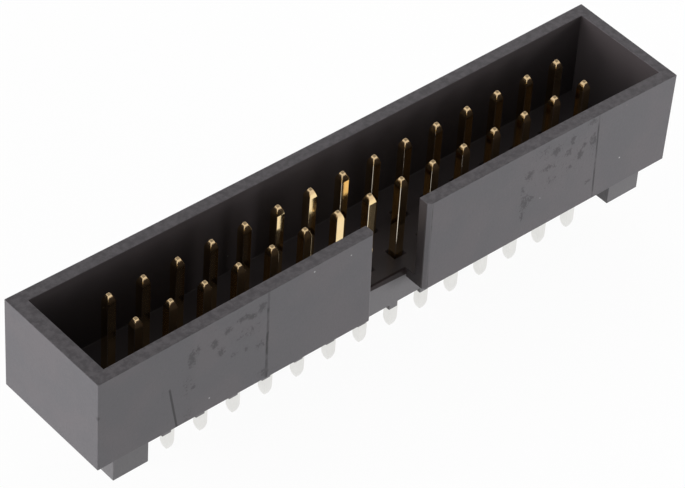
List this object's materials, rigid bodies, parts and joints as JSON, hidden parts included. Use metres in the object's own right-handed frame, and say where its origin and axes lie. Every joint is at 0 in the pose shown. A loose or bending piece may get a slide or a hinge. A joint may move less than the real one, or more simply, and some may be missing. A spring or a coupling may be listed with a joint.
{
  "type": "box header",
  "caption": "Straight shrouded box header with an open polarising slot and square through-hole contacts in two rows.",
  "frame": {"origin": "centre of the contact grid on the board's upper surface, where the end feet stand", "axes": "+X along the contact rows with contact 1 at the low end, -Y towards the slotted wall, +Z out of the mating side"},
  "size_m": [0.0458, 0.0088, 0.0123],
  "materials": {
    "housing_plastic": "moulded black thermoplastic, finely textured outside and smooth inside the cavity",
    "contact_metal": "brass wire, gold flash at the mating end and tin on the tails"
  },
  "bodies": {
    "root": {"housing": "housing_plastic", "contact_01": "contact_metal", "contact_02": "contact_metal", "contact_03": "contact_metal", "contact_04": "contact_metal", "contact_05": "contact_metal", "contact_06": "contact_metal", "contact_07": "contact_metal", "contact_08": "contact_metal", "contact_09": "contact_metal", "contact_10": "contact_metal", "contact_11": "contact_metal", "contact_12": "contact_metal", "contact_13": "contact_metal", "contact_14": "contact_metal", "contact_15": "contact_metal", "contact_16": "contact_metal", "contact_17": "contact_metal", "contact_18": "contact_metal", "contact_19": "contact_metal", "contact_20": "contact_metal", "contact_21": "contact_metal", "contact_22": "contact_metal", "contact_23": "contact_metal", "contact_24": "contact_metal", "contact_25": "contact_metal", "contact_26": "contact_metal", "contact_27": "contact_metal", "contact_28": "contact_metal", "contact_29": "contact_metal", "contact_30": "contact_metal"}
  },
  "joints": []
}
